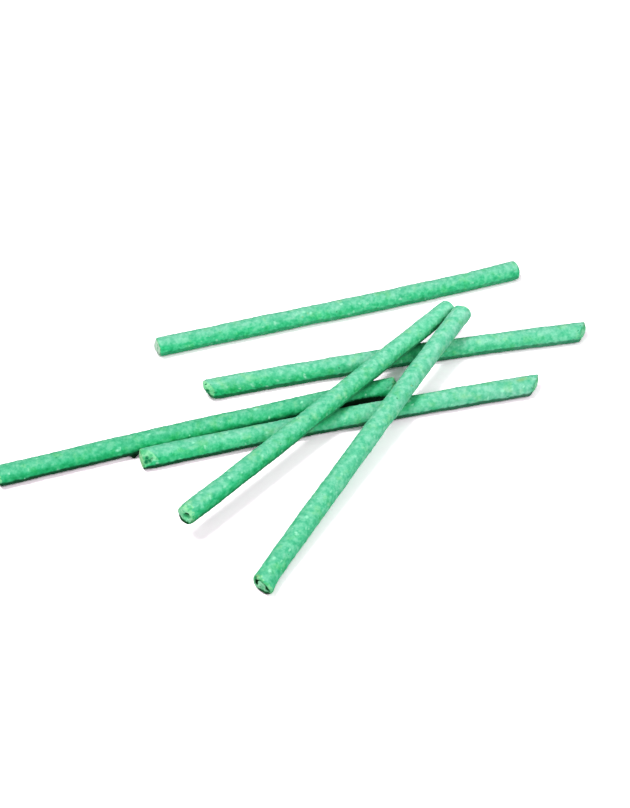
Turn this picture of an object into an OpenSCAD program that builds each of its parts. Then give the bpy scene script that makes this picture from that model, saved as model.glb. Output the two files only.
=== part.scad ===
// A loose pile of straight sticks. Each stick is a strip rolled up round an open core, with its
// last lap pressed shut, and cut to length. Four sticks lie on the table, one lies level across
// three of those, and one stands on its near end and leans over the front stick.

/* [Stick] */
// Length of a stick along its axis
stick_length = 127; // [100:1:160]
// Outside diameter of a stick
stick_d = 6.4; // [5:0.1:8]
// Thickness of the strip that a stick is rolled from
strip_thickness = 1; // [0.7:0.05:1.4]
// Open gap between one turn of the strip and the next
turn_gap = 0.35; // [0.2:0.05:0.6]
// Diameter of the open core
core_d = 1.2; // [0.6:0.1:2]
// Gap left where one stick rests on another
rest_gap = 0.15; // [0.05:0.05:0.5]

/* [Back stick] */
// Middle of the back stick on the table, to the right and away
back_place = [8.7, 44.8]; // [-100:0.1:100]
// Heading of the back stick, turned from the right
back_heading = 18.9; // [0:0.1:45]
// Angle round the back stick at which its lap starts
back_lap = 40; // [0:5:355]

/* [Right stick] */
// Middle of the right stick on the table, to the right and away
right_place = [26.3, 18.7]; // [-100:0.1:100]
// Heading of the right stick, turned from the right
right_heading = 13.2; // [0:0.1:45]
// Bow of the right stick, its middle away
right_bow = 1.7; // [0.2:0.1:3]
// Slant of the right stick's far cut, its near side shorter
right_cut = 30; // [0:1:40]
// Angle round the right stick at which its lap starts
right_lap = 200; // [0:5:355]

/* [Front stick] */
// Middle of the front stick on the table, to the right and away
front_place = [8.1, -10.7]; // [-100:0.1:100]
// Heading of the front stick, turned from the right
front_heading = 15.5; // [0:0.1:45]
// Bow of the front stick, its middle away
front_bow = 1.2; // [0.2:0.1:3]
// Slant of the front stick's far cut, its near side shorter
front_cut = 30; // [0:1:40]
// Angle round the front stick at which its lap starts
front_lap = 75; // [0:5:355]

/* [Left stick] */
// Gap between the left stick and the front stick's left end
left_gap = 0.5; // [0.4:0.1:20]
// How far the left stick stands out past the front stick's left end
left_reach = 43; // [30:0.5:55]
// Heading of the left stick, turned from the right
left_heading = 18.5; // [17:0.1:25]
// Bow of the left stick, its middle away
left_bow = 0.8; // [0.2:0.1:2]
// Slant of the left stick's far cut, its near side shorter
left_cut = 25; // [0:1:40]
// Angle round the left stick at which its lap starts
left_lap = 150; // [0:5:355]

/* [Top stick] */
// Middle of the top stick over the table, to the right and away
top_place = [3.2, -11.3]; // [-20:0.1:20]
// Heading of the top stick, turned from the right
top_heading = 49.4; // [40:0.1:60]
// Angle round the top stick at which its lap starts
top_lap = 320; // [0:5:355]

/* [Leaning stick] */
// Gap between the leaning stick's far end and the top stick, seen from above
leaning_gap = 0.5; // [0.3:0.1:10]
// How far the leaning stick's far end stops short of the top stick's
leaning_step = 2.6; // [0:0.1:20]
// Heading of the leaning stick, turned from the right
leaning_heading = 60.1; // [55:0.1:75]
// Angle round the leaning stick at which its lap starts
leaning_lap = 110; // [0:5:355]

/* [Hidden] */

stick_green = [0.33, 0.76, 0.53];
round_steps = 96;
bow_steps = 32;
stick_r = stick_d / 2;
core_r = core_d / 2;

// The slit between the turns winds in from the lap to the core
turn_pitch = strip_thickness + turn_gap;
lap_r = stick_r - strip_thickness - turn_gap / 2;
slit_sweep = 360 * (lap_r - core_r) / turn_pitch;
slit_step = 12;
slit_count = ceil(slit_sweep / slit_step);

// Spare length that the end cuts take away, and a block large enough to take it
end_spare = stick_d;
cut_block = 4 * stick_d;

function along(angle) = [cos(angle), sin(angle)];
function leftward(angle) = [-sin(angle), cos(angle)];
function turned(point, angle) = point.x * along(angle) + point.y * leftward(angle);
function backwards(list) = [for (i = [len(list) - 1 : -1 : 0]) list[i]];

// One edge of the slit, set out from its middle line
function slit_edge(out) = [
    for (i = [0 : slit_count])
        let (angle = slit_sweep * i / slit_count)
        (lap_r + out - turn_pitch * angle / 360) * along(angle)
];

// A bowed stick follows an arc, and its place is the middle of the arc's width
function bow_r(bow) = stick_length ^ 2 / (8 * bow);
function half_turn(bow) = bow == 0 ? 0 : stick_length / 2 / bow_r(bow) * 180 / PI;
function bow_centre(bow) = [0, bow / 3 - bow_r(bow)];
function end_point(bow, side) = bow == 0
    ? [side * stick_length / 2, 0]
    : bow_centre(bow) + bow_r(bow) * along(90 - side * half_turn(bow));
function end_angle(bow, side, cut) = (side > 0 ? 0 : 180) - side * (half_turn(bow) + cut);

// The left stick lies beside the front stick's left end
front_left_end = front_place + turned(end_point(front_bow, -1), front_heading);
left_place = front_left_end
    + (stick_d + left_gap) * leftward(left_heading)
    + (stick_length / 2 - left_reach) * along(left_heading);

// The leaning stick's far end is set out from the top stick's far end
top_far_end = top_place + stick_length / 2 * along(top_heading);
leaning_far_end = top_far_end
    - leaning_step * along(top_heading)
    - (stick_d + leaning_gap) * leftward(top_heading);

// Distance back from that end to where it crosses the front stick, seen from above
front_centre = front_place + turned(bow_centre(front_bow), front_heading);
from_centre = leaning_far_end - front_centre;
inward = from_centre * along(leaning_heading);
crossing_back = inward - sqrt(inward ^ 2 - from_centre * from_centre + bow_r(front_bow) ^ 2);
crossing = from_centre - crossing_back * along(leaning_heading);
crossing_angle = leaning_heading - (atan2(crossing.y, crossing.x) - 90);

// Height between the two axes where they cross, and the lean that gives it
function rise(lean) = (stick_d + rest_gap)
    * norm([sin(lean), cos(lean) * sin(crossing_angle)])
    / (cos(lean) * sin(crossing_angle));
function steeper(lean) = atan(
    (rise(lean) + stick_r * (1 - cos(lean))) / (stick_length * cos(lean) - crossing_back)
);
function settled(lean, tries) = tries == 0 ? lean : settled(steeper(lean), tries - 1);
lean = settled(0, 6);
leaning_place = leaning_far_end - stick_length / 2 * cos(lean) * along(leaning_heading);
leaning_height = stick_r * cos(lean) + stick_length / 2 * sin(lean);

top_height = stick_d + rest_gap + stick_r;

// The origin is the middle of the pile's footprint, on the table
function face_reach(angle, cut) = stick_r / cos(cut) * [abs(sin(angle)), abs(cos(angle))];
function corners(place, heading, bow, far_cut) = [
    for (side = [-1, 1], way = [-1, 1])
        let (cut = side > 0 ? far_cut : 0)
        let (angle = heading + end_angle(bow, side, cut))
        place + turned(end_point(bow, side), heading) + way * face_reach(angle, cut)
];
pile_corners = concat(
    corners(back_place, back_heading, 0, 0),
    corners(right_place, right_heading, right_bow, right_cut),
    corners(front_place, front_heading, front_bow, front_cut),
    corners(left_place, left_heading, left_bow, left_cut),
    corners(top_place, top_heading, 0, 0),
    corners(leaning_place, leaning_heading, 0, 0)
);
pile_x = [for (corner = pile_corners) corner.x];
pile_y = [for (corner = pile_corners) corner.y];
pile_centre = [min(pile_x) + max(pile_x), min(pile_y) + max(pile_y)] / 2;

// Section of a stick, with its lap turned to one side
module roll_section(lap) {
    rotate(lap)
    difference() {
        circle(r = stick_r, $fn = round_steps);
        circle(r = core_r, $fn = round_steps);
        polygon(concat(slit_edge(turn_gap / 2), backwards(slit_edge(-turn_gap / 2))));
    }
}

// A roll longer than the stick, straight or bowed
module roll(bow, lap) {
    raw_length = stick_length + 2 * end_spare;
    if (bow == 0) {
        rotate([90, 0, 90])
        linear_extrude(raw_length, center = true)
        roll_section(lap);
    } else {
        sweep = raw_length / bow_r(bow) * 180 / PI;
        translate(bow_centre(bow))
        rotate(90 - sweep / 2)
        rotate_extrude(angle = sweep, $fn = ceil(bow_steps * 360 / sweep))
        translate([bow_r(bow), 0])
        roll_section(lap);
    }
}

// What one end cut takes away
module end_waste(bow, side, cut) {
    translate(end_point(bow, side))
    rotate(end_angle(bow, side, cut))
    translate([0, -cut_block / 2, -cut_block / 2])
    cube(cut_block);
}

// A finished stick along X, with both ends cut
module stick(lap, bow = 0, far_cut = 0) {
    color(stick_green)
    difference() {
        roll(bow, lap);
        end_waste(bow, 1, far_cut);
        end_waste(bow, -1, 0);
    }
}

// Sets a stick down in the pile
module set_down(place, heading, height, lift = 0) {
    translate([place.x - pile_centre.x, place.y - pile_centre.y, height])
    rotate([0, -lift, heading])
    children();
}

module back_stick() {
    set_down(back_place, back_heading, stick_r) stick(back_lap);
}

module right_stick() {
    set_down(right_place, right_heading, stick_r) stick(right_lap, right_bow, right_cut);
}

module front_stick() {
    set_down(front_place, front_heading, stick_r) stick(front_lap, front_bow, front_cut);
}

module left_stick() {
    set_down(left_place, left_heading, stick_r) stick(left_lap, left_bow, left_cut);
}

module top_stick() {
    set_down(top_place, top_heading, top_height) stick(top_lap);
}

module leaning_stick() {
    set_down(leaning_place, leaning_heading, leaning_height, lean) stick(leaning_lap);
}

back_stick();
right_stick();
front_stick();
left_stick();
top_stick();
leaning_stick();
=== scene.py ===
import math
from types import SimpleNamespace

import bpy
import numpy as np
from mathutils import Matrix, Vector, noise
from mathutils.bvhtree import BVHTree


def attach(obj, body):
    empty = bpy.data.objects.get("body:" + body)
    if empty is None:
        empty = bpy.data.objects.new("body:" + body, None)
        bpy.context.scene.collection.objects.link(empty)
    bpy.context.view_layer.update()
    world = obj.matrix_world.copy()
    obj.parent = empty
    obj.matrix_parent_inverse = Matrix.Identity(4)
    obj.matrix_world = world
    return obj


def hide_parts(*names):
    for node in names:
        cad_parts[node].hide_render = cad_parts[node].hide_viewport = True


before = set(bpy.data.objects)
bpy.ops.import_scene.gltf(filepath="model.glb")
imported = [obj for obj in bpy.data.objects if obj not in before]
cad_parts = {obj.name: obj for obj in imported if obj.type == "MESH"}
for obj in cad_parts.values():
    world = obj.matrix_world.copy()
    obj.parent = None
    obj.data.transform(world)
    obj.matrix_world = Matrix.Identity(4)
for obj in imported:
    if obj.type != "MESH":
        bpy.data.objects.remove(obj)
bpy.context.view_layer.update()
mm = 0.001
print("frame loaded:", ", ".join(sorted(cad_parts)))


# Camera, floor and light

view = {
    "target": (3.57 * mm, 6.34 * mm, 0.0),
    "elevation": 42.18,      # degrees above the table
    "distance": 541 * mm,
    "focalPixels": 1700.4,   # focal length, in pixels of a 630 x 808 picture
    "longSide": 808,         # longer side of that picture
    "sensor": 36,            # width in millimetres
    "clip": (0.01, 50),      # nearest and furthest that is drawn, in metres
}
table = {
    "size": 0.84,
    "colour": (0.78, 0.78, 0.79),    # what lights the sticks from below
    "seen": (1.80, 1.57, 1.72),      # what the camera sees: over-exposed, so only deep shadow shows
}
sky = {
    "strength": 0.06,
    "colour": (0.95, 0.965, 1.0),
    "seen": (1, 1, 1),
}
lamps = {
    "overheadLamp": {"at": (-0.33, -0.14, 1.0), "size": (0.26, 0.26), "power": 5.7},
    "frontBox": {"at": (0.05, -0.85, 0.86), "size": (1.6, 0.5), "power": 5.9},
    "rightLamp": {"at": (0.55, -0.30, 0.65), "size": (0.35, 0.35), "power": 1.9},
    "backBox": {"at": (0.0, 0.40, 1.05), "size": (2.0, 0.4), "power": 2.3},
}


def addCamera():
    data = bpy.data.cameras.new("photoCamera")
    data.sensor_width = view["sensor"]
    data.lens = view["focalPixels"] * data.sensor_width / view["longSide"]
    data.clip_start, data.clip_end = view["clip"]
    camera = bpy.data.objects.new("photoCamera", data)
    bpy.context.scene.collection.objects.link(camera)
    tilt = math.radians(view["elevation"])
    back = Vector((0, -math.cos(tilt), math.sin(tilt)))
    camera.location = Vector(view["target"]) + view["distance"] * back
    camera.rotation_euler = (math.pi / 2 - tilt, 0, 0)
    bpy.context.scene.camera = camera


# 1 for what the camera sees, straight or in a gloss or through glass
def addSeenRays(tree):
    path = tree.nodes.new("ShaderNodeLightPath")
    total = path.outputs["Is Camera Ray"]
    for label in ("Is Glossy Ray", "Is Transmission Ray"):
        node = tree.nodes.new("ShaderNodeMath")
        node.operation = "ADD"
        node.use_clamp = True
        tree.links.new(total, node.inputs[0])
        tree.links.new(path.outputs[label], node.inputs[1])
        total = node.outputs[0]
    return total


# One shader for the light that falls on the sticks, another for what is seen
def mixSeen(tree, lit, seen, out):
    mix = tree.nodes.new("ShaderNodeMixShader")
    tree.links.new(addSeenRays(tree), mix.inputs[0])
    tree.links.new(lit.outputs[0], mix.inputs[1])
    tree.links.new(seen.outputs[0], mix.inputs[2])
    tree.links.new(mix.outputs[0], out.inputs["Surface"])


def addTable():
    half = table["size"] / 2
    corners = [(-half, -half, 0), (half, -half, 0), (half, half, 0), (-half, half, 0)]
    mesh = bpy.data.meshes.new("tableTop")
    mesh.from_pydata(corners, [], [(0, 1, 2, 3)])
    top = bpy.data.objects.new("tableTop", mesh)
    bpy.context.scene.collection.objects.link(top)
    material = bpy.data.materials.new("paleTable")
    material.use_nodes = True
    tree = material.node_tree
    tree.nodes.clear()
    lit = tree.nodes.new("ShaderNodeBsdfDiffuse")
    lit.inputs["Color"].default_value = (*table["colour"], 1)
    seen = tree.nodes.new("ShaderNodeBsdfDiffuse")
    seen.inputs["Color"].default_value = (*table["seen"], 1)
    mixSeen(tree, lit, seen, tree.nodes.new("ShaderNodeOutputMaterial"))
    mesh.materials.append(material)


def addSky():
    world = bpy.data.worlds.new("paleSky")
    bpy.context.scene.world = world
    world.use_nodes = True
    tree = world.node_tree
    tree.nodes.clear()
    lit = tree.nodes.new("ShaderNodeBackground")
    lit.inputs["Color"].default_value = (*sky["colour"], 1)
    lit.inputs["Strength"].default_value = sky["strength"]
    seen = tree.nodes.new("ShaderNodeBackground")
    seen.inputs["Color"].default_value = (*sky["seen"], 1)
    mixSeen(tree, lit, seen, tree.nodes.new("ShaderNodeOutputWorld"))


def addLamp(name):
    lamp = lamps[name]
    data = bpy.data.lights.new(name, "AREA")
    data.shape = "RECTANGLE"
    data.size, data.size_y = lamp["size"]
    data.energy = lamp["power"]
    made = bpy.data.objects.new(name, data)
    bpy.context.scene.collection.objects.link(made)
    made.location = lamp["at"]
    made.rotation_euler = (-Vector(lamp["at"])).to_track_quat("-Z", "Y").to_euler()


addCamera()
addTable()
addSky()
for lampName in lamps:
    addLamp(lampName)
bpy.context.scene.view_settings.view_transform = "Standard"
print("camera, table and light set")


# Finishes

# The fresh and the dry skin run from their darkest crumb to their palest
skinFinish = {
    "fresh": [(0.014, 0.55, 0.202), (0.058, 0.775, 0.338), (0.175, 0.92, 0.490)],
    "dry": [(0.095, 0.63, 0.350), (0.222, 0.76, 0.492), (0.400, 0.90, 0.660)],
    "warm": (1.08, 1.0, 0.82),     # what the warmer patches are multiplied by
    "pale": (0.35, 0.90, 0.60),
    "tan": (0.31, 0.62, 0.24),
    # dark pits, and painted shadow where such marks lie beside other sticks
    "dark": (0.006, 0.22, 0.080),
    "deep": (0.50, 0.83, 0.68),    # painted shade: what low and hidden places are multiplied by
    # painted shade on the underside and in the gaps between sticks
    "damp": (0.001, 0.058, 0.020),
    # painted shadow, near black, in the deepest gaps
    "wet": (0.0004, 0.014, 0.004),
    "tornShare": 0.7,              # how much of the inside shows where the skin is torn
    "roughness": (0.60, 0.80),
    "specular": 0.06,
    "bump": 0.4,
    "bumpHeight": 0.16 * mm,
}
cutFinish = {
    "deep": (0.090, 0.60, 0.260),
    "light": (0.370, 0.91, 0.560),
    "shadeRange": (0.15, 0.85),    # of a crumb's shade, from deep to light
    "pocket": (0.002, 0.09, 0.020),
    # painted shade in the pockets of an end
    "sunkRange": (0.05, 0.6),      # of how far a place is sunk, until it is all pocket
    "pale": (0.62, 0.86, 0.68),
    "tan": (0.52, 0.90, 0.42),
    "roughness": (0.65, 0.85),
    "specular": 0.06,
    "bump": 0.45,
    "bumpHeight": 0.14 * mm,
}


# Nodes for the shader groups

def newGroup(name, inputs, outputs):
    tree = bpy.data.node_groups.new(name, "ShaderNodeTree")
    for label, kind, value in inputs:
        socket = tree.interface.new_socket(label, in_out="INPUT", socket_type=kind)
        socket.default_value = value
    for label, kind in outputs:
        tree.interface.new_socket(label, in_out="OUTPUT", socket_type=kind)
    return tree, tree.nodes.new("NodeGroupInput"), tree.nodes.new("NodeGroupOutput")


def addAttribute(tree, name):
    node = tree.nodes.new("ShaderNodeAttribute")
    node.attribute_name = name
    return node


def addMath(tree, operation, first, second, clamp=False):
    node = tree.nodes.new("ShaderNodeMath")
    node.operation = operation
    node.use_clamp = clamp
    for socket, value in zip(node.inputs, (first, second)):
        if isinstance(value, (int, float)):
            socket.default_value = value
        else:
            tree.links.new(value, socket)
    return node.outputs[0]


def addRange(tree, value, low, high, toLow=0.0, toHigh=1.0):
    node = tree.nodes.new("ShaderNodeMapRange")
    node.interpolation_type = "SMOOTHSTEP"
    limits = {"From Min": low, "From Max": high, "To Min": toLow, "To Max": toHigh}
    for label, number in limits.items():
        node.inputs[label].default_value = number
    tree.links.new(value, node.inputs["Value"])
    return node.outputs["Result"]


def addNoise(tree, vector, scale, detail, roughness=0.55):
    node = tree.nodes.new("ShaderNodeTexNoise")
    tree.links.new(vector, node.inputs["Vector"])
    tree.links.new(scale, node.inputs["Scale"])
    node.inputs["Detail"].default_value = detail
    node.inputs["Roughness"].default_value = roughness
    return node.outputs[0]


# Noise moved from about a half to about zero, and made weaker
def addUneven(tree, value, depth):
    return addMath(tree, "MULTIPLY", addMath(tree, "SUBTRACT", value, 0.5), depth)


def addRamp(tree, factor, colours):
    node = tree.nodes.new("ShaderNodeValToRGB")
    elements = node.color_ramp.elements
    while len(elements) < len(colours):
        elements.new(0.5)
    for number, colour in enumerate(colours):
        elements[number].position = number / (len(colours) - 1)
        elements[number].color = (*colour, 1)
    tree.links.new(factor, node.inputs[0])
    return node.outputs[0]


def addMix(tree, factor, first, second, blend="MIX"):
    node = tree.nodes.new("ShaderNodeMix")
    node.data_type = "RGBA"
    node.blend_type = blend
    tree.links.new(factor, node.inputs["Factor"])
    colourInputs = [socket for socket in node.inputs if socket.type == "RGBA"]
    for socket, value in zip(colourInputs, (first, second)):
        if isinstance(value, tuple):
            socket.default_value = (*value, 1)
        else:
            tree.links.new(value, socket)
    return next(socket for socket in node.outputs if socket.type == "RGBA")


# Crumbs pressed together: each has its own shade and stands a little proud

crumbLook = {
    "perMetre": 780.0,
    "smoothness": 0.35,             # how far neighbouring crumbs run together
    "crumbShare": 0.26,             # how much of the shade is a crumb's own
    "blotchShare": 0.74,            # and how much comes from blotches across several crumbs
    "blotchRange": (0.27, 0.73),
    "warmRange": (0.50, 0.74),
    "fineRange": (0.3, 0.7),
    "fineLift": 0.5,                # height of the fine grain beside a crumb's
    "layers": {                     # scale beside the crumbs' own, detail, roughness
        "blotch": (0.78, 3.0, 0.6),
        "fine": (3.1, 3.0, 0.55),
        "warm": (0.36, 2.0, 0.55),
    },
}


def makeCrumbGroup():
    tree, given, put = newGroup(
        "pressedCrumbs",
        [("Crumbs per Metre", "NodeSocketFloat", crumbLook["perMetre"])],
        [(label, "NodeSocketFloat") for label in ("Shade", "Height", "Fine", "Warm")],
    )
    spot = tree.nodes.new("ShaderNodeTexCoord").outputs["Object"]
    density = given.outputs["Crumbs per Metre"]
    cells = tree.nodes.new("ShaderNodeTexVoronoi")
    cells.feature = "SMOOTH_F1"
    cells.inputs["Smoothness"].default_value = crumbLook["smoothness"]
    tree.links.new(spot, cells.inputs["Vector"])
    tree.links.new(density, cells.inputs["Scale"])
    split = tree.nodes.new("ShaderNodeSeparateColor")
    tree.links.new(cells.outputs["Color"], split.inputs[0])
    layers = {}
    for label, (scale, detail, roughness) in crumbLook["layers"].items():
        layerScale = addMath(tree, "MULTIPLY", density, scale)
        layers[label] = addNoise(tree, spot, layerScale, detail, roughness)
    fromCells = addMath(tree, "MULTIPLY", split.outputs[0], crumbLook["crumbShare"])
    fromBlotch = addRange(tree, layers["blotch"], *crumbLook["blotchRange"], 0.0, crumbLook["blotchShare"])
    tree.links.new(addMath(tree, "ADD", fromCells, fromBlotch), put.inputs["Shade"])
    dome = addMath(tree, "SUBTRACT", 1.0, cells.outputs["Distance"])
    fineHeight = addMath(tree, "MULTIPLY", layers["fine"], crumbLook["fineLift"])
    tree.links.new(addMath(tree, "ADD", dome, fineHeight), put.inputs["Height"])
    tree.links.new(layers["fine"], put.inputs["Fine"])
    tree.links.new(addRange(tree, layers["warm"], *crumbLook["warmRange"]), put.inputs["Warm"])
    return tree


# Flecks, chips and pits that the mesh carries, and marks of painted shadow, with broken edges

fleckLook = {
    "breaksPerMetre": 2300.0,
    "breakDetail": 1.0,
    "breakDepth": 0.5,
    "edge": (0.22, 0.75),      # where a mark begins and where it is full
    "faint": (0.02, 0.2),      # the broken edge fades out over this
}
# the dark kind serves pits and painted shadow beside other sticks; the last kind is painted shadow only
markKinds = ("pale", "tan", "dark", "wet")


def makeFleckGroup():
    tree, given, put = newGroup(
        "fleckMarks",
        [("Edge Breaks", "NodeSocketFloat", fleckLook["breaksPerMetre"])],
        [(kind.title(), "NodeSocketFloat") for kind in markKinds],
    )
    marks = addAttribute(tree, "marks")
    split = tree.nodes.new("ShaderNodeSeparateColor")
    tree.links.new(marks.outputs["Color"], split.inputs[0])
    place = tree.nodes.new("ShaderNodeTexCoord")
    breaks = given.outputs["Edge Breaks"]
    broken = addNoise(tree, place.outputs["Object"], breaks, fleckLook["breakDetail"])
    ragged = addUneven(tree, broken, fleckLook["breakDepth"])
    for kind, source in zip(markKinds, [*split.outputs, marks.outputs["Alpha"]]):
        mask = addRange(tree, addMath(tree, "ADD", source, ragged), *fleckLook["edge"])
        present = addRange(tree, source, *fleckLook["faint"])
        tree.links.new(addMath(tree, "MULTIPLY", mask, present), put.inputs[kind.title()])
    return tree


# Paleness of the dry skin, changing along the stick, with painted sheen on what faces up, and painted shade
# on the underside and under and beside other sticks

paintedLightLook = {
    "patchesPerMetre": 150.0,
    "patchDetail": 2.0,
    "patchDepth": 0.6,
    "dryPatches": 0.5,                     # how much of the patches shows in the dryness
    "facingUp": (0.32, 1.10),              # height of the normal, until it is full
    "uncovered": (0.25, 0.85, 1.0, 0.3),   # how covered by another stick, and what is left of the painted sheen and the dryness: painted shadow
    "hidden": (0.15, 0.70, 0.0, 0.9),      # the same, for the painted shade of deeper green under another stick
    "touching": (0.60, 0.97, 0.0, 0.55),   # and for the darker painted shade where it nearly touches
    "deepSide": (-0.75, -0.20),            # how far round to the underside the painted shade of deeper green starts
    "dampSide": (-0.07, 0.16),
    "creviceSide": (-0.40, -0.02),
    "creviceReach": (0.30, 0.62),          # how near another stick lies
}
# What changes from one end of a stick to the other, with its plain value
alongLabels = {"Dry": 0.0, "Damp": 0.0, "Deep": 0.0, "Crevice": 0.0, "Tone": 1.0}
alongEnds = (" at Start", " at Stop")


def makePaintedLightGroup():
    inputs = [
        ("PaintedSheen", "NodeSocketFloat", 0.9),
        ("Patches per Metre", "NodeSocketFloat", paintedLightLook["patchesPerMetre"]),
    ]
    for label, value in alongLabels.items():
        inputs += [(label + which, "NodeSocketFloat", value) for which in alongEnds]
    outputs = [(label, "NodeSocketFloat") for label in ("Paleness", "Deep", "Damp", "Tone")]
    tree, given, put = newGroup("paleAndPaintedLight", inputs, outputs)
    near = addAttribute(tree, "nearness").outputs["Fac"]
    covered = addAttribute(tree, "covered").outputs["Fac"]
    share = addAttribute(tree, "lengthShare").outputs["Fac"]
    lowSide = addAttribute(tree, "lowSide").outputs["Fac"]
    place = tree.nodes.new("ShaderNodeTexCoord")
    normal = tree.nodes.new("ShaderNodeSeparateXYZ")
    tree.links.new(place.outputs["Normal"], normal.inputs[0])

    # What changes along the stick
    changing = {}
    for label in alongLabels:
        first, last = [given.outputs[label + which] for which in alongEnds]
        part = addMath(tree, "MULTIPLY", addMath(tree, "SUBTRACT", last, first), share)
        changing[label] = addMath(tree, "ADD", part, first)
    tree.links.new(changing["Tone"], put.inputs["Tone"])

    # Painted sheen on top, and dryness all round; both are taken away under another stick, a painted shadow
    patchScale = given.outputs["Patches per Metre"]
    patches = addNoise(tree, place.outputs["Object"], patchScale, paintedLightLook["patchDetail"])
    uneven = addUneven(tree, patches, paintedLightLook["patchDepth"])
    height = addMath(tree, "ADD", normal.outputs["Z"], uneven)
    uncovered = addRange(tree, covered, *paintedLightLook["uncovered"])
    upper = addRange(tree, height, *paintedLightLook["facingUp"])
    upper = addMath(tree, "MULTIPLY", upper, given.outputs["PaintedSheen"])
    upper = addMath(tree, "MULTIPLY", upper, uncovered)
    dryPatches = addMath(tree, "MULTIPLY", uneven, paintedLightLook["dryPatches"])
    dry = addMath(tree, "ADD", changing["Dry"], dryPatches, clamp=True)
    dry = addMath(tree, "MULTIPLY", dry, uncovered)
    notUpper = addMath(tree, "SUBTRACT", 1.0, upper)
    notDry = addMath(tree, "SUBTRACT", 1.0, dry)
    fresh = addMath(tree, "MULTIPLY", notUpper, notDry)
    tree.links.new(addMath(tree, "SUBTRACT", 1.0, fresh, clamp=True), put.inputs["Paleness"])

    # Painted shade below, deeper green and darker, by the mean of the round section and the lumpy surface
    down = addMath(tree, "MULTIPLY", addMath(tree, "SUBTRACT", lowSide, normal.outputs["Z"]), 0.5)
    lowerHalf = addMath(tree, "MULTIPLY", addRange(tree, down, *paintedLightLook["deepSide"]), changing["Deep"])
    under = addMath(tree, "MULTIPLY", addRange(tree, down, *paintedLightLook["dampSide"]), changing["Damp"])

    # Painted shade also where another stick lies close above or beside
    hidden = addRange(tree, covered, *paintedLightLook["hidden"])
    tree.links.new(addMath(tree, "MAXIMUM", lowerHalf, hidden), put.inputs["Deep"])
    touching = addRange(tree, covered, *paintedLightLook["touching"])
    between = addRange(tree, near, *paintedLightLook["creviceReach"])
    between = addMath(tree, "MULTIPLY", between, changing["Crevice"])
    creviceSide = addRange(tree, down, *paintedLightLook["creviceSide"])
    crevice = addMath(tree, "MULTIPLY", creviceSide, between, clamp=True)
    beside = addMath(tree, "MAXIMUM", touching, crevice)
    tree.links.new(addMath(tree, "MAXIMUM", under, beside), put.inputs["Damp"])
    return tree


# Colour of the stuff inside, on cut faces and where the skin is torn, with painted shade in sunk pockets
def makeInsideGroup():
    tree, given, put = newGroup(
        "insideCrumb",
        [("Shade", "NodeSocketFloat", 0.5), ("Sunk", "NodeSocketFloat", 0.0)],
        [("Colour", "NodeSocketColor")],
    )
    shade = addRange(tree, given.outputs["Shade"], *cutFinish["shadeRange"])
    colour = addMix(tree, shade, cutFinish["deep"], cutFinish["light"])
    sunk = addRange(tree, given.outputs["Sunk"], *cutFinish["sunkRange"])
    colour = addMix(tree, sunk, colour, cutFinish["pocket"])
    tree.links.new(colour, put.inputs["Colour"])
    return tree


crumbGroup = makeCrumbGroup()
fleckGroup = makeFleckGroup()
paintedLightGroup = makePaintedLightGroup()
insideGroup = makeInsideGroup()
print("shader groups made")


# Materials

def startMaterial(name, finish):
    material = bpy.data.materials.new(name)
    material.use_nodes = True
    tree = material.node_tree
    shader = tree.nodes["Principled BSDF"]
    shader.inputs["Specular IOR Level"].default_value = finish["specular"]
    groups = {}
    for label, group in (("crumbs", crumbGroup), ("flecks", fleckGroup), ("inside", insideGroup)):
        groups[label] = tree.nodes.new("ShaderNodeGroup")
        groups[label].node_tree = group
    crumbs = groups["crumbs"].outputs
    tree.links.new(crumbs["Shade"], groups["inside"].inputs["Shade"])
    bump = tree.nodes.new("ShaderNodeBump")
    bump.inputs["Strength"].default_value = finish["bump"]
    bump.inputs["Distance"].default_value = finish["bumpHeight"]
    tree.links.new(crumbs["Height"], bump.inputs["Height"])
    tree.links.new(bump.outputs[0], shader.inputs["Normal"])
    roughness = addRange(tree, crumbs["Fine"], *crumbLook["fineRange"], *finish["roughness"])
    tree.links.new(roughness, shader.inputs["Roughness"])
    return material, tree, shader, groups


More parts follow.
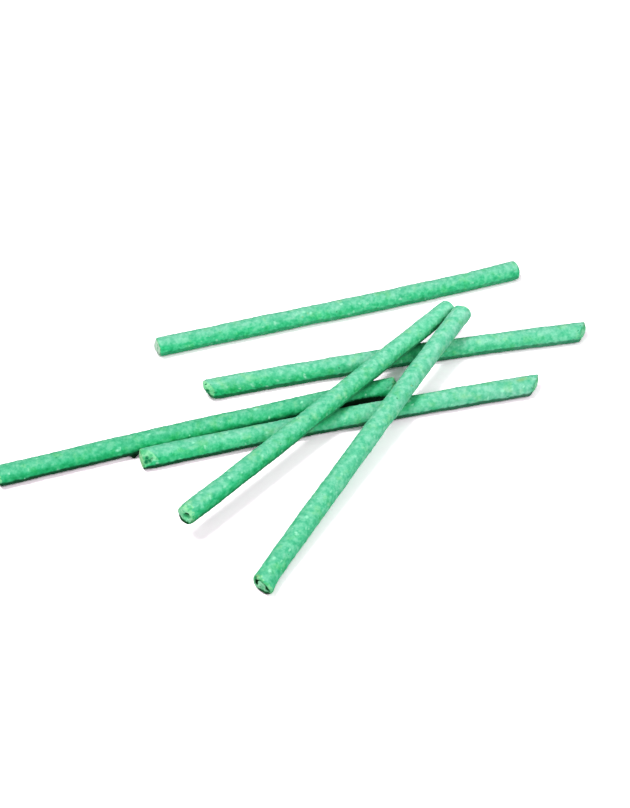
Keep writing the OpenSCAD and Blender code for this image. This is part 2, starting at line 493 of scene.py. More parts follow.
def makeSkin(name, stick):
    material, tree, shader, groups = startMaterial(name, skinFinish)
    crumbs, flecks = groups["crumbs"].outputs, groups["flecks"].outputs
    paintedLight = tree.nodes.new("ShaderNodeGroup")
    paintedLight.node_tree = paintedLightGroup
    paintedLight.inputs["PaintedSheen"].default_value = stick["paintedLight"]
    for label in alongLabels:
        for which, value in zip(alongEnds, stick[label.lower()]):
            paintedLight.inputs[label + which].default_value = value
    fresh, dry = [addRamp(tree, crumbs["Shade"], skinFinish[label]) for label in ("fresh", "dry")]
    # Paler on top is painted sheen, taken away under other sticks as painted shadow
    colour = addMix(tree, paintedLight.outputs["Paleness"], fresh, dry)
    # The tone along the stick is partly painted shade, darker towards its near end
    toned = tree.nodes.new("ShaderNodeVectorMath")
    toned.operation = "SCALE"
    tree.links.new(colour, toned.inputs[0])
    tree.links.new(paintedLight.outputs["Tone"], toned.inputs["Scale"])
    colour = addMix(tree, crumbs["Warm"], toned.outputs[0], skinFinish["warm"], "MULTIPLY")
    # Painted shade: deeper green lower down and under other sticks
    colour = addMix(tree, paintedLight.outputs["Deep"], colour, skinFinish["deep"], "MULTIPLY")
    for label in ("pale", "tan"):
        colour = addMix(tree, flecks[label.title()], colour, skinFinish[label])
    torn = addAttribute(tree, "torn").outputs["Fac"]
    tornShare = addRange(tree, torn, 0.0, 1.0, 0.0, skinFinish["tornShare"])
    colour = addMix(tree, tornShare, colour, groups["inside"].outputs["Colour"])
    colour = addMix(tree, tornShare, colour, skinFinish["warm"], "MULTIPLY")
    # Dark pits, and painted shadow where such marks lie beside other sticks
    colour = addMix(tree, flecks["Dark"], colour, skinFinish["dark"])
    # Painted shade on the underside and in the gaps between sticks
    colour = addMix(tree, paintedLight.outputs["Damp"], colour, skinFinish["damp"])
    # Painted shadow, near black, in the deepest gaps
    colour = addMix(tree, flecks["Wet"], colour, skinFinish["wet"])
    tree.links.new(colour, shader.inputs["Base Color"])
    return material


def makeCut():
    material, tree, shader, groups = startMaterial("cutEnd", cutFinish)
    # Sunk places of a cut face take the painted shade of a pocket
    tree.links.new(addAttribute(tree, "pocket").outputs["Fac"], groups["inside"].inputs["Sunk"])
    colour = groups["inside"].outputs["Colour"]
    for label in ("pale", "tan"):
        colour = addMix(tree, groups["flecks"].outputs[label.title()], colour, cutFinish[label])
    tree.links.new(colour, shader.inputs["Base Color"])
    return material


cutMaterial = makeCut()
print("cut end material made")


# Sticks

# The first rings stand closer together towards an end, at these distances in mm
rimRings = (0, 0.02, 0.05, 0.09, 0.14, 0.2, 0.27, 0.35, 0.44, 0.54, 0.65, 0.77, 0.9, 1.05, 1.2)
shape = {
    "ringStep": 0.2 * mm,           # along the stick
    "around": 112,                  # points round the stick
    "capRings": 34,                 # from the rim of an end to its middle
    "floor": 0.01 * mm,             # nothing goes lower
    "nearReach": 5 * mm,            # how far off another stick is felt
    "coverGain": 1.5,               # how soon a stick that lies aslant counts as lying above
    "seedShift": (7.31, 3.17, 0),   # how far one seed moves the noise
}
# Layers of noise are pairs of a scale per mm and a weight
relief = {
    "wave": 0.16 * mm,              # slow swelling and thinning
    "waveLayers": ((0.09, 1), (0.21, 0.5)),
    "lump": 0.10 * mm,              # crumbs felt as lumps
    "lumpLayers": ((0.75, 1), (1.6, 0.6)),
    "face": 0.10 * mm,              # roughness of a cut face
    "faceLayers": ((0.9, 1), (2.2, 1)),
    "faceRise": 6,                  # how soon that is full, from the rim inwards
    "dentCircle": 1.6,              # radius in the noise at which the dents of a rim are read
    "dentLevel": 0.15,              # higher dents more of the rim
    "dentFade": 3,                  # power with which a dent fades towards the middle
    "rimFade": 1.2 * mm,            # how far dents in a rim reach along the stick
    "sagFrom": 0.55,                # height round the stick where the sag starts, 1 at the top
    "sagSpan": 1.35,                # how much lower it is full
    "sagAtEnd": 0.3,                # what is left of it at an end
    "sagStart": 4 * mm,             # how far from an end it is full
}
roll = {
    "slitWidth": 0.10 * mm,         # where the slit doesn't gape
    "fullWidth": 0.5 * mm,          # as wide as this, it is as deep as the core
    "leastDepth": 0.2,              # share of that depth which any slit has
    "lipRise": 0.4,                 # how far up round the core its lit lip reaches
    "dampSpan": 0.25,               # share of the radius over which a painted dark edge fades
    "tintFade": 4,                  # how soon a pocket takes away the face's tint
}
tearing = {
    "frayLevel": 0.8,               # higher frays the rim more evenly
    "frayEdge": 0.22 * mm,          # how sharply a frayed place begins
    "ragged": 0.15 * mm,            # unevenness of a tear's outline
    "lines": {"pale": 0.35 * mm, "dark": -0.4 * mm},    # inside and outside the outline; the dark one is painted shadow of the step
    "lineWidth": 0.35 * mm,
}
# Sizes and lifts are in mm
strewn = {
    "pale": {"count": "paleFlecks", "size": (0.35, 0.85), "lift": 0.05},
    "tan": {"count": "tanFlecks", "size": (0.25, 0.45), "lift": 0.04},
    "dark": {"count": "pits", "size": (0.18, 0.36), "lift": -0.14},
}
strewnStretch = (0.7, 1.5)
strewnWeight = (0.3, 0.7)
rimPit = {"inward": (0.1, 1.8), "size": (0.3, 0.6), "weight": (0.3, 0.6), "lift": -0.15}
markReach = 2.5                     # how far out a mark is drawn, in its own lengths
endWays = {"near": 1, "far": -1}    # which way along the stick leads in from each end


def unit(vector):
    return vector / np.linalg.norm(vector)


def smooth(value):
    value = np.clip(value, 0, 1)
    return value * value * (3 - 2 * value)


# From 0 to 1 over an edge's width, a half where the value is 0
def softStep(value, edge):
    return smooth(value / edge + 0.5)


def noiseAt(points, scale, shift):
    return np.array([noise.noise(Vector(point * scale) + shift) for point in points])


def layeredNoise(points, layers, shift):
    return sum(weight * noiseAt(points, scale, shift) for scale, weight in layers)


# Middle and outward normal of a solid's two cut faces, and its radius
def readSolid(node):
    endShare = 0.05    # of the length, in which a cut face lies
    squareOn = 0.7     # least cosine between a cut face's normal and the stick
    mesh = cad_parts[node].data
    points = np.array([vertex.co for vertex in mesh.vertices])
    along = np.linalg.svd(points - points.mean(0), full_matrices=False)[2][0]
    along = along * np.sign(along[0])
    side = unit(np.cross((0, 0, 1), along))
    basis = np.array([along, side, np.cross(along, side)])
    ends = []
    for way in (-1, 1):
        ahead = way * (points @ along)
        last = ahead > ahead.max() - endShare * np.ptp(ahead)
        faces = []
        for face in mesh.polygons:
            if way * np.dot(face.normal, along) > squareOn and last[list(face.vertices)].all():
                faces.append(face)
        local = points[sorted({number for face in faces for number in face.vertices})] @ basis.T
        middle = (local.min(0) + local.max(0)) / 2
        normal = unit(sum(np.array(face.normal) * face.area for face in faces))
        ends.append((middle @ basis, normal))
        radius = (local[:, 2].max() - local[:, 2].min()) / 2
    return ends, radius


# The faces of every solid but one
def otherSolids(node):
    points, faces = [], []
    for other in sorted(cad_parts):
        if other != node:
            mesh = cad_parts[other].data
            faces += [[len(points) + number for number in face.vertices] for face in mesh.polygons]
            points += [vertex.co.copy() for vertex in mesh.vertices]
    return BVHTree.FromPolygons(points, faces)


# How near another stick is, 1 where it touches and 0 from a set distance on, and how much it lies above
def nearnessTo(others, points):
    reach = shape["nearReach"]
    near, covered = np.zeros(len(points)), np.zeros(len(points))
    for number, point in enumerate(points):
        spot, _, _, away = others.find_nearest(Vector(point), reach)
        if away:
            near[number] = 1 - away / reach
            above = shape["coverGain"] * (spot.z - point[2]) / away
            covered[number] = near[number] * np.clip(above, 0, 1)
    return near, covered


# Distances along a stick at which its rings stand
def ringPlaces(length):
    close = np.array(rimRings) * mm
    innerCount = int((length - 2 * close[-1]) / shape["ringStep"])
    inner = np.linspace(close[-1], length - close[-1], innerCount)
    return np.concatenate([close[:-1], inner, (length - close[:-1])[::-1]])


# How far inside an outline a point lies, negative outside it
def insideOutline(x, y, outline):
    inside = np.zeros(x.shape, bool)
    away = np.full(x.shape, np.inf)
    for (startX, startY), (stopX, stopY) in zip(outline, outline[1:] + outline[:1]):
        runX, runY = stopX - startX, stopY - startY
        if runY != 0:
            crossing = startX + (y - startY) * runX / runY
            inside ^= ((startY > y) != (stopY > y)) & (x < crossing)
        share = ((x - startX) * runX + (y - startY) * runY) / (runX ** 2 + runY ** 2)
        share = np.clip(share, 0, 1)
        away = np.minimum(away, np.hypot(x - startX - share * runX, y - startY - share * runY))
    return np.where(inside, away, -away)


# How deep the open roll goes in at a point of an end face
def rollDepth(reach, angle, end):
    start, pitch, stop = [value * mm for value in end["slit"]]
    wall = end["wall"] * mm
    sweep = 360 * (start - stop) / pitch
    depth = np.zeros_like(reach)
    for turn in (0, 1):
        wound = (end["wind"] * (np.degrees(angle) - end["lap"])) % 360 + 360 * turn
        width = np.full_like(wound, roll["slitWidth"])
        for at, spread, gape in end["gapes"]:
            width += gape * mm * np.exp(-(((wound - at) / spread) ** 2))
        away = np.abs(reach - (start - pitch * wound / 360))
        opened = softStep(width / 2 - away, wall) * (wound < sweep)
        depth = np.maximum(depth, opened * np.clip(width / roll["fullWidth"], roll["leastDepth"], 1))
    coreX, coreY, coreRadius = [value * mm for value in end["core"]]
    coreAway = np.hypot(reach * np.cos(angle) - coreX, reach * np.sin(angle) - coreY)
    depth = np.maximum(depth, softStep(coreRadius - coreAway, wall))
    return depth * end["depth"] * mm


# Random flecks and pits, and the listed marks
def scatter(stick, length):
    random = np.random.default_rng(stick["seed"])
    spots = []
    for kind, look in strewn.items():
        for _ in range(stick[look["count"]]):
            at, angle = random.uniform(0, length), random.uniform(0, 2 * math.pi)
            size, stretch = random.uniform(*look["size"]) * mm, random.uniform(*strewnStretch)
            weight = random.uniform(*strewnWeight)
            spots.append((kind, at, angle, size * stretch, size / stretch, look["lift"] * mm, weight))
    for endName, way in endWays.items():
        for _ in range(stick[endName]["rimPits"]):
            inward, angle = random.uniform(*rimPit["inward"]) * mm, random.uniform(0, 2 * math.pi)
            size, weight = random.uniform(*rimPit["size"]) * mm, random.uniform(*rimPit["weight"])
            at = inward if way > 0 else length - inward
            spots.append(("dark", at, angle, size, size, rimPit["lift"] * mm, weight))
    for kind, at, angle, long, wide, lift, weight in stick["marks"]:
        spots.append((kind, at * mm, math.radians(angle), long * mm, wide * mm, lift * mm, weight))
    return spots


# A stick's middle line, bowed and swaying a little, its rings and the spokes round it
def layOut(stick):
    ((startAt, startNormal), (stopAt, stopNormal)), solidRadius = readSolid(stick["node"])
    line = SimpleNamespace()
    line.radius = solidRadius * stick["girth"]
    line.along = unit(stopAt - startAt)
    side = unit(np.cross((0, 0, 1), line.along))
    rise = np.cross(line.along, side)
    startAt = startAt + line.along * stick["trim"][0] * mm
    stopAt = stopAt - line.along * stick["trim"][1] * mm
    line.ends = {"near": (startAt, startNormal), "far": (stopAt, stopNormal)}
    line.length = np.linalg.norm(stopAt - startAt)
    line.rings = ringPlaces(line.length)
    line.away = {"near": line.rings, "far": line.length - line.rings}
    line.share = line.rings / line.length
    bend = stick["bow"] * mm * 4 * line.share * (1 - line.share)
    sway = stick["sway"] * mm * np.sin(2 * math.pi * line.share)
    line.middle = startAt + line.rings[:, None] * line.along + (bend + sway)[:, None] * side
    line.turn = np.linspace(0, 2 * math.pi, shape["around"], endpoint=False)
    line.spoke = np.cos(line.turn)[:, None] * side + np.sin(line.turn)[:, None] * rise
    line.shift = Vector([stick["seed"] * value for value in shape["seedShift"]])
    return line


# Slant of each cut, and the dents in its rim
def cutRims(stick, line):
    rims = {}
    for endName, way in endWays.items():
        end = stick[endName]
        at, normal = line.ends[endName]
        pullSide, pullTop = end["pull"]
        pulled = (pullSide * np.cos(line.turn) + pullTop * np.sin(line.turn)) * mm / line.radius
        slant = -(line.spoke @ normal) / (line.along @ normal) + way * pulled
        ragged = noiseAt(at / mm + line.spoke * relief["dentCircle"], 1.0, line.shift)
        dents = end["ragged"] * mm * np.clip(ragged + relief["dentLevel"], 0, 1)
        rims[endName] = SimpleNamespace(slant=slant, dents=dents)
    return rims


def addMarks(stick, line, skin):
    for kind, at, angle, long, wide, lift, weight in scatter(stick, line.length):
        drawn = (at - markReach * long, at + markReach * long)
        rows = slice(*np.searchsorted(line.rings, drawn))
        across = ((line.turn - angle + math.pi) % (2 * math.pi) - math.pi) * line.radius
        mask = np.exp(-((line.rings[rows, None] - at) / long) ** 2 - (across[None, :] / wide) ** 2)
        skin.masks[kind][rows] = np.maximum(skin.masks[kind][rows], weight * mask)
        skin.out[rows] += lift * mask


# Frayed rims, and tears with a pale line inside their edge and a dark one outside, a painted shadow of the
# step
def tearEnds(stick, line, skin):
    for endName in endWays:
        end = stick[endName]
        away = line.away[endName][:, None]
        frayed = end["fray"] * mm * (tearing["frayLevel"] + skin.grain) - away
        skin.torn = np.maximum(skin.torn, softStep(frayed, tearing["frayEdge"]))
        for tear in end["tears"]:
            corners = []
            for inward, angle in tear["outline"]:
                corners.append((inward * mm, math.radians(angle) * line.radius))
            x, y = np.broadcast_arrays(away, line.turn * line.radius)
            within = insideOutline(x, y, corners) + tearing["ragged"] * skin.grain
            inside = softStep(within, tear["edge"] * mm)
            skin.torn = np.maximum(skin.torn, tear["share"] * inside)
            skin.out = skin.out - tear["depth"] * mm * inside
            for kind, offset in tearing["lines"].items():
                stripe = np.exp(-((within - offset) / tearing["lineWidth"]) ** 2)
                skin.masks[kind] = np.maximum(skin.masks[kind], tear[kind] * stripe)


# How far the skin is drawn in at the rims
def rimRounding(stick, line):
    rounding = 0
    for endName in endWays:
        inset, inward = [value * mm for value in stick[endName]["edge"]]
        close = np.clip(1 - line.away[endName] / inward, 0, 1)
        rounding = rounding + inset * (1 - np.sqrt(1 - close ** 2))
    return rounding[:, None]


# How far the lower side swells
def lowerSag(stick, line):
    low = smooth((relief["sagFrom"] - np.sin(line.turn)) / relief["sagSpan"])
    grown = relief["sagAtEnd"] + (1 - relief["sagAtEnd"]) * smooth(line.rings / relief["sagStart"])
    amount = np.interp(line.share, (0, 1), stick["sag"]) * grown
    return mm * amount[:, None] * low


# The skin's points, and what its material reads
def coverStick(stick, line, rims):
    grid = (len(line.rings), shape["around"])
    skin = SimpleNamespace()
    skin.masks = {kind: np.zeros(grid) for kind in markKinds}
    skin.torn = np.zeros(grid)
    flat = (line.middle[:, None, :] + line.radius * line.spoke).reshape(-1, 3) / mm
    wave = layeredNoise(flat, relief["waveLayers"], line.shift).reshape(grid)
    skin.grain = layeredNoise(flat, relief["lumpLayers"], line.shift).reshape(grid)
    skin.out = relief["wave"] * wave + relief["lump"] * skin.grain
    addMarks(stick, line, skin)
    tearEnds(stick, line, skin)
    skin.reach = line.radius + skin.out + lowerSag(stick, line) - rimRounding(stick, line)
    share = line.share[:, None]
    slant = (1 - share) * rims["near"].slant + share * rims["far"].slant
    dented = 0
    for endName, way in endWays.items():
        fade = np.exp(-line.away[endName] / relief["rimFade"])
        dented = dented + way * fade[:, None] * rims[endName].dents
    ahead = skin.reach * slant + dented
    middle = line.middle[:, None, :]
    skin.points = middle + skin.reach[..., None] * line.spoke + ahead[..., None] * line.along
    skin.points[..., 2] = np.maximum(skin.points[..., 2], shape["floor"])
    others = otherSolids(stick["node"])
    skin.nearness, skin.covered = nearnessTo(others, skin.points.reshape(-1, 3))
    return skin


# Cut faces, ring by ring from the rim to the middle, how sunk they are, and the painted shade of their
# pockets and lower edge
def closeEnds(stick, line, rims, skin):
    caps = SimpleNamespace(points=[], sunk=[])
    for (endName, way), rimReach in zip(endWays.items(), (skin.reach[0], skin.reach[-1])):
        end, rim = stick[endName], rims[endName]
        at = line.ends[endName][0]
        inward = way * line.along
        bulge = end["bulge"] * mm
        coreUp, coreRadius = end["core"][1] * mm, end["core"][2] * mm
        edgeFrom, edgeDark, edgeAngle = end["dampEdge"]
        towardsEdge = np.cos(line.turn - math.radians(edgeAngle))
        for step in range(1, shape["capRings"]):
            part = 1 - step / shape["capRings"]    # 1 at the rim, 0 in the middle
            reach = rimReach * part
            spot = at + reach[:, None] * line.spoke
            depth = rollDepth(reach, line.turn, end)
            rough = relief["face"] * layeredNoise(spot / mm, relief["faceLayers"], line.shift)
            rough = rough * min(1, relief["faceRise"] * (1 - part))
            dent = rim.dents * part ** relief["dentFade"] + depth + rough
            dent = dent - bulge * (1 - part * part)
            caps.points.append(spot + (reach * rim.slant)[:, None] * line.along + dent[:, None] * inward)
            # Painted shade along the face's lower edge, and in its pockets except on the core's lit lower
            # lip
            damp = smooth((part * towardsEdge - edgeFrom) / roll["dampSpan"])
            below = (coreUp - reach * np.sin(line.turn)) / coreRadius
            lip = end["litLip"] * smooth(below + roll["lipRise"])
            caps.sunk.append(depth / mm * end["pocketShade"] * (1 - lip) + edgeDark * damp)
        depth = rollDepth(np.zeros(1), np.zeros(1), end)
        caps.points.append((at + inward * (depth - bulge))[None, :])
        caps.sunk.append(depth / mm * end["pocketShade"])
    return caps


# Faces of a near end, from its rim to its middle, whose points are numbered from a start
def capFaces(rim, start):
    faces = []
    for _ in range(shape["capRings"] - 1):
        inner = start + np.arange(len(rim))
        faces += zip(rim, inner, np.roll(inner, -1), np.roll(rim, -1))
        start += len(rim)
        rim = inner
    return faces + [(here, start, after) for here, after in zip(rim, np.roll(rim, -1))]


def buildMesh(name, stick, line, skin, caps):
    ringCount, around = skin.points.shape[:2]
    skinCount = ringCount * around
    capCount = (shape["capRings"] - 1) * around + 1
    vertices = np.concatenate([skin.points.reshape(-1, 3)] + caps.points)
    rings = np.arange(skinCount).reshape(ringCount, around)
    faces = []
    for ring, nextRing in zip(rings, rings[1:]):
        faces += zip(ring, np.roll(ring, -1), np.roll(nextRing, -1), nextRing)
    skinFaces = len(faces)
    faces += capFaces(rings[0], skinCount)
    faces += [tuple(reversed(face)) for face in capFaces(rings[-1], skinCount + capCount)]
    mesh = bpy.data.meshes.new(name)
    mesh.from_pydata(vertices.tolist(), [], [tuple(int(number) for number in face) for face in faces])
    mesh.materials.append(makeSkin(name + "Skin", stick))
    mesh.materials.append(cutMaterial)
    slots = np.zeros(len(faces), np.int32)
    slots[skinFaces:] = 1
    mesh.polygons.foreach_set("material_index", slots)
    mesh.polygons.foreach_set("use_smooth", np.ones(len(faces), bool))

    # What the materials read at each point
    colour = np.zeros((len(vertices), 4), np.float32)
    for channel, kind in enumerate(markKinds):
        colour[:skinCount, channel] = skin.masks[kind].ravel()
    sunk = np.concatenate(caps.sunk)
    unsunk = 1 - np.clip(roll["tintFade"] * sunk, 0, 1)
    for endName, first in (("near", 0), ("far", capCount)):
        tint = unsunk[first: first + capCount, None] * stick[endName]["face"]
        colour[skinCount + first: skinCount + first + capCount, :2] = tint
    mesh.attributes.new("marks", "FLOAT_COLOR", "POINT").data.foreach_set("color", colour.ravel())
    onSkin, onCaps = slice(0, skinCount), slice(skinCount, None)
    for label, part, values in (
        ("lengthShare", onSkin, np.repeat(line.share, around)),
        ("torn", onSkin, skin.torn.ravel()),
        ("nearness", onSkin, skin.nearness),
        ("covered", onSkin, skin.covered),
        ("lowSide", onSkin, np.tile(-np.sin(line.turn), ringCount)),
        ("pocket", onCaps, sunk),
    ):
        numbers = np.zeros(len(vertices), np.float32)
        numbers[part] = values
        mesh.attributes.new(label, "FLOAT", "POINT").data.foreach_set("value", numbers)
    mesh.update()
    return mesh


def makeStick(name, stick):
    line = layOut(stick)
    rims = cutRims(stick, line)
    skin = coverStick(stick, line, rims)
    caps = closeEnds(stick, line, rims, skin)
    mesh = buildMesh(name, stick, line, skin, caps)
    piece = bpy.data.objects.new(name, mesh)
    bpy.context.scene.collection.objects.link(piece)
    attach(piece, stick["body"])
    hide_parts(stick["node"])
    print(name, "made,", len(mesh.polygons), "faces")


# An end, in mm and degrees. Looking along the stick from its near end, 0 is the left and 90 the top.
plainEnd = {
    "lap": 40,                      # where the slit starts
    "wind": 1,                      # the way the strip is rolled, 1 or -1
    "slit": (2.05, 1.35, 0.6),      # its first radius, its pitch and its last radius
    "gapes": [(20, 40, 0.3)],       # where it gapes: angle from the lap, spread and width
    "core": (0, 0, 0.6),            # the open core: to the side, up and radius
    "depth": 2.4,                   # of the core and the widest gapes
    "wall": 0.12,                   # over which a pocket's wall goes down
    "pocketShade": 1.0,                   # how dark the pockets are: painted shade
    "litLip": 0,                    # how much of the painted pocket shade the core's lit lower lip is spared
    "dampEdge": (0.7, 0.5, 270),    # a painted shade along the edge: its start as a share of the radius, darkness and angle
    "face": (0, 0),                 # how pale and how yellow the face is
    "ragged": 0.4,                  # how deep the rim is dented
    "edge": (0.6, 0.6),             # how far the rim is rounded, inwards and along the stick
    "bulge": 0.4,                   # how far the face is domed
    "pull": (0, 0),                 # how far the rim is drawn in at the left and at the top
    "fray": 0.5,                    # how far in the skin is worn off
    "tears": [],                    # outlines are pairs of distance from the end and angle
    "rimPits": 9,
}
# A stick, in mm. Pairs of numbers are for its near and its far end.
plainStick = {
    "paintedLight": 0.95,                  # how pale it is on top: painted sheen
    "dry": (0, 0),                  # how pale it is all round
    "damp": (0, 0),                 # how dark its underside is: painted shade
    "deep": (0, 0),                 # how much deeper green it is lower down: painted shade
    "crevice": (0, 0),              # how dark it is beside another stick: painted shade
    "tone": (1, 1),                 # what its colours are multiplied by: partly its own tone, partly painted shade that darkens the near end
    "girth": 1.0,                   # its thickness beside the solid's
    "bow": 0,                       # how far its middle lies to the left
    "sway": 0,                      # how far its quarters lie to the left and to the right
    "sag": (0, 0),                  # how far its lower side swells
    "trim": (0, 0),                 # how much shorter it is than the solid
    "paleFlecks": 150,
    "tanFlecks": 4,
    "pits": 16,
    "near": plainEnd,
    "far": plainEnd,
    "marks": [],                    # kind, distance from the near end, angle, length, width, lift, weight
}

backStick = dict(
    plainStick, node="back_stick", body="back", seed=1,
    paintedLight=0.95, dry=(0.03, 0.22), damp=(0.4, 0.4), deep=(0.3, 0.3), tone=(0.89, 0.92),
    girth=0.98, bow=-0.7, sway=0.3, sag=(0.0, 0.2), trim=(-0.2, -0.7),
    near=dict(plainEnd, bulge=1.0, lap=100, fray=0.2, rimPits=2, face=(0.9, 0)),
    far=dict(plainEnd, edge=(0.4, 0.4), bulge=0.9, fray=0.2),
    marks=[
        ("pale", 50.0, 110, 0.8, 0.6, 0.08, 0.8),
        ("pale", 52.2, 128, 0.6, 0.7, 0.08, 0.8),
        ("tan", 51.2, 124, 0.5, 0.6, 0, 0.6),
        ("tan", 49.2, 140, 0.4, 0.4, 0, 0.6),
        ("dark", 61.0, 152, 0.4, 0.4, -0.15, 0.6),
        ("pale", 63.2, 112, 0.7, 0.5, 0.08, 0.8),
        ("pale", 110.0, 50, 1.3, 0.9, -0.45, 0.8),    # a chip in the upper edge
    ],
)
makeStick("backStick", backStick)

rightStick = dict(
    plainStick, node="right_stick", body="right", seed=2,
    paintedLight=1.0, dry=(0.0, 0.58), damp=(0.8, 0.6), deep=(1.1, 0.0), crevice=(0.6, 0.3), tone=(0.92, 0.92),
    bow=1.7, sag=(0.46, 0.06), trim=(0.7, -0.3),
    near=dict(
        plainEnd, edge=(1.5, 1.8), bulge=0.5, pull=(0.3, -1.8), fray=0.8, rimPits=8,
        tears=[{
            "outline": [(-1, 50), (1.4, 72), (2.6, 110), (3.3, 145), (2.4, 175), (0.8, 196), (-1, 210)],
            "depth": 0.2, "edge": 0.5, "share": 0.9, "pale": 0.3, "dark": 0.36,
        }],
    ),
    far=dict(plainEnd, edge=(0.8, 0.8), bulge=0.9, fray=0.2),
    marks=[
        ("dark", 2.9, 114, 0.4, 0.4, -0.1, 0.6),
        ("dark", 1.4, 104, 0.5, 0.4, -0.2, 1.0),
        ("dark", 0.8, 146, 0.9, 0.6, -0.2, 1.1),
        ("dark", 0.4, 170, 0.6, 0.9, -0.2, 1.1),
        ("dark", 2.95, 167, 0.8, 0.4, -0.15, 0.7),
        ("dark", 44.5, 152, 0.6, 0.5, -0.15, 0.6),
        ("dark", 67.8, 210, 2.4, 2.8, 0, 0.55),       # painted shadow from the top and the leaning stick, beside the top stick
        ("dark", 69.8, 165, 2.4, 2.8, 0, 0.55),
        ("dark", 73.1, 122, 2.4, 2.6, 0, 0.55),
    ],
)
makeStick("rightStick", rightStick)

frontStick = dict(
    plainStick, node="front_stick", body="front", seed=3,
    paintedLight=0.92, dry=(0.03, 1.0), damp=(1.0, 0.8), deep=(0.8, 0.0), crevice=(0.1, 0.4), tone=(0.86, 0.90),
    girth=0.985, bow=1.2, sag=(0.42, 0.24), trim=(0, -1.0),
    near=dict(
        plainEnd, edge=(0.4, 0.4), fray=0.9, rimPits=2, face=(0, 0.5),
        tears=[{
            "outline": [(-1, 60), (1.2, 70), (3.6, 115), (4.9, 165), (3.2, 158), (1.6, 182), (-1, 200)],
            "depth": 0.3, "edge": 0.5, "share": 0.75, "pale": 0.36, "dark": 0.36,
        }],
    ),
    far=dict(plainEnd, edge=(0.9, 0.9), bulge=0.7, pull=(-0.2, -0.5), fray=0.2),
    marks=[
        ("dark", 1.3, 138, 0.8, 1.0, -0.2, 0.8),
        ("dark", 1.0, 162, 0.9, 1.1, -0.25, 0.9),
        ("dark", 2.1, 160, 0.9, 0.9, -0.2, 0.8),
        ("dark", 2.9, 146, 0.7, 0.7, -0.1, 0.6),
        ("tan", 95.8, 50, 0.8, 0.5, 0, 0.6),
        ("tan", 122.6, 92, 2.5, 1.4, 0, 0.6),
        ("pale", 124.2, 138, 0.5, 0.5, 0.08, 0.8),
        ("pale", 117.2, 142, 0.8, 0.6, 0.08, 0.8),
        ("pale", 85.5, 106, 0.7, 0.7, 0.08, 0.8),
        ("pale", 26.8, 86, 0.8, 0.6, 0.08, 0.8),
    ],
)
makeStick("frontStick", frontStick)

leftStick = dict(
    plainStick, node="left_stick", body="left", seed=4,
    paintedLight=0.55, dry=(0.03, 0.03), damp=(1.0, 1.0), deep=(1.0, 1.0), crevice=(0.1, 1.1), tone=(0.78, 0.79),
    girth=1.03, bow=0.8, trim=(0, -0.4),
    paleFlecks=110, tanFlecks=6, pits=20,
    far=dict(plainEnd, edge=(0.9, 0.9), bulge=0.8),
    marks=[
        ("tan", 82.2, 80, 0.9, 0.7, 0.05, 0.6),
        ("pale", 81.6, 90, 0.9, 0.7, 0.08, 0.8),
        ("pale", 96.8, 112, 0.6, 0.5, 0.08, 0.8),
        ("wet", 42.0, 228, 1.0, 1.3, 1.2, 2.5),       # painted shadow: a black lump in the shaded gap beside the front stick's near end
        ("wet", 117.0, 200, 8.0, 2.0, 0, 2.0),        # painted shadow on the side towards the front stick
    ],
)
makeStick("leftStick", leftStick)

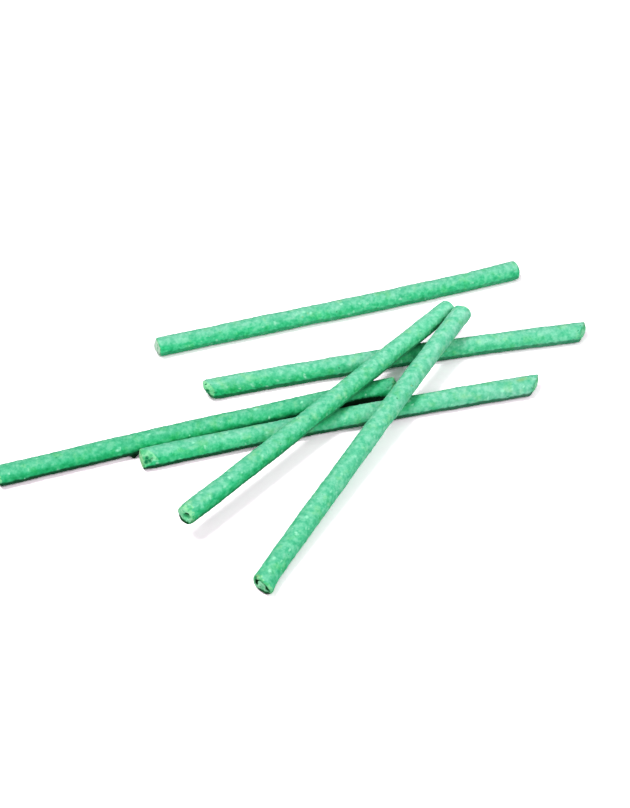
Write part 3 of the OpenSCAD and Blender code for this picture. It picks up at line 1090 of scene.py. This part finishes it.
topStick = dict(
    plainStick, node="top_stick", body="top", seed=5,
    paintedLight=0.84, dry=(-0.12, 0.68), damp=(0.5, 0.6), deep=(0.8, 0.8), crevice=(-0.2, 1.2), tone=(0.86, 1.01),
    girth=0.975, bow=-0.33, sway=-0.17, trim=(0.55, 0.5),
    near=dict(
        plainEnd, lap=145, gapes=[(140, 25, 0.2)], core=(-1.15, 0.85, 1.05), depth=1.3, wall=0.35,
        pocketShade=0.75, litLip=0.85, edge=(0.6, 2.4), bulge=0.5, pull=(0, 0.25), fray=2.0, rimPits=0,
        dampEdge=(0.17, 1.8, 284), face=(0, 0.3),
    ),
    far=dict(plainEnd, edge=(0.7, 0.9)),
    marks=[
        ("dark", 22.2, 182, 0.6, 0.5, -0.2, 0.6),
        ("pale", 17.8, 106, 0.6, 0.8, 0.08, 0.8),
        # painted shade along the lower rim of the near end
        ("dark", 0.2, 280, 1.3, 2.2, 0, 2.2),
        ("dark", 123.4, 148, 2.6, 0.9, 0, 0.6),       # painted shadow on the side towards the leaning stick
        ("dark", 119.5, 164, 3.0, 1.0, 0, 0.6),
        ("dark", 115.0, 180, 3.0, 1.0, 0, 0.7),
        ("dark", 110.5, 200, 3.0, 1.0, 0, 0.7),
    ],
)
makeStick("topStick", topStick)

leaningStick = dict(
    plainStick, node="leaning_stick", body="leaning", seed=6,
    paintedLight=0.60, dry=(0.23, 1.0), damp=(0.2, 0.0), crevice=(0, 0.2), tone=(0.83, 1.01),
    girth=0.985, bow=0.45, trim=(-0.6, 0),
    tanFlecks=8,
    near=dict(
        plainEnd, lap=198, wind=-1, slit=(2.55, 1.36, 1.56),
        gapes=[(55, 80, 0.85), (0, 30, 0.9), (183, 36, 2.0)], core=(0, -0.3, 0.3),
        edge=(0.8, 0.8), bulge=0.2, pull=(0.5, 0), fray=0.8, rimPits=2,
        dampEdge=(0.45, 1.5, 255), face=(0, 0.3),
    ),
    far=dict(plainEnd, edge=(0.5, 0.5), pull=(0.5, 0)),
    marks=[
        ("tan", 88.2, 138, 0.7, 0.6, -0.1, 0.6),
        ("dark", 88.6, 146, 0.4, 0.4, -0.15, 0.6),
        ("dark", 80.5, 114, 0.5, 0.5, -0.12, 0.6),
        ("pale", 8.2, 86, 0.8, 0.7, 0.08, 0.8),
        ("pale", 4.0, 108, 0.7, 0.7, 0.08, 0.8),
        ("tan", 0.5, 62, 1.0, 1.2, 0, 0.7),
        ("dark", 0.2, 52, 0.7, 1.0, -0.05, 0.7),
        # painted shadow where the near end's lower rim meets the table
        ("wet", 0.0, 250, 0.6, 2.2, 0, 2.0),
        ("dark", 0.0, 188, 3.2, 2.6, 0.8, 0),         # no stain: the rim only flares here
    ],
)
makeStick("leaningStick", leaningStick)
